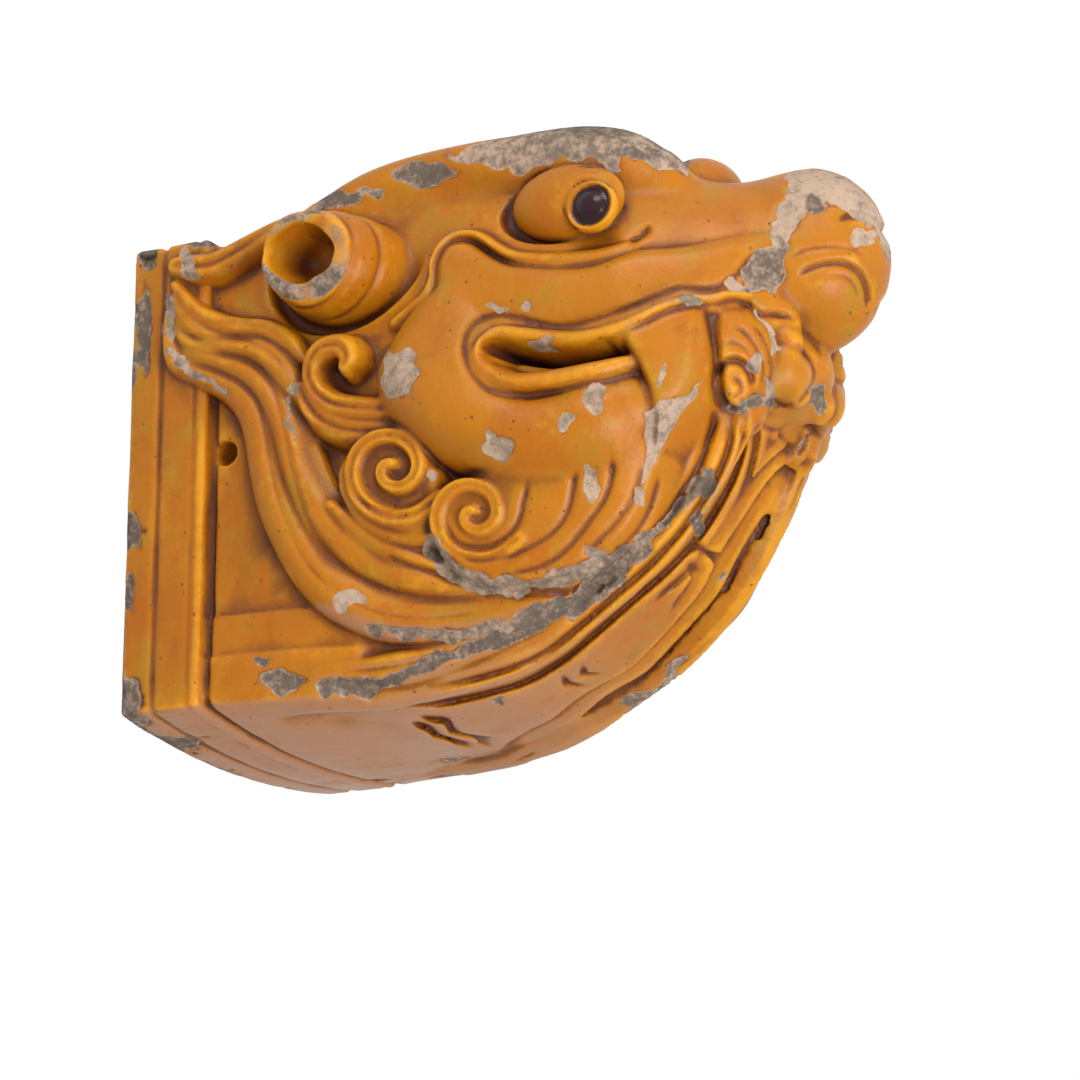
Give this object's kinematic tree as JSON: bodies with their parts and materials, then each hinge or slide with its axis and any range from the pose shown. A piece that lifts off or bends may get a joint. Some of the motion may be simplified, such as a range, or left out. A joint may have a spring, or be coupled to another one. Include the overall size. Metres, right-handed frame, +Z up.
{
  "type": "ridge beast ornament",
  "caption": "Glazed ceramic roof tile shaped as a horned beast's head with curled mane, hollow behind a square frame that sleeves over a corner rafter.",
  "frame": {"origin": "middle of the square opening at the back, on the plane of the back rim", "axes": "+X from the open back towards the snout, +Y across the head to the beast's left, +Z up towards the crown"},
  "size_m": [0.365, 0.2482, 0.2911],
  "materials": {
    "amber_glaze": "satin-gloss amber lead glaze over fired clay, worn to bare pink-beige clay on the high edges"
  },
  "bodies": {
    "root": {"beast_head": "amber_glaze"}
  },
  "joints": []
}
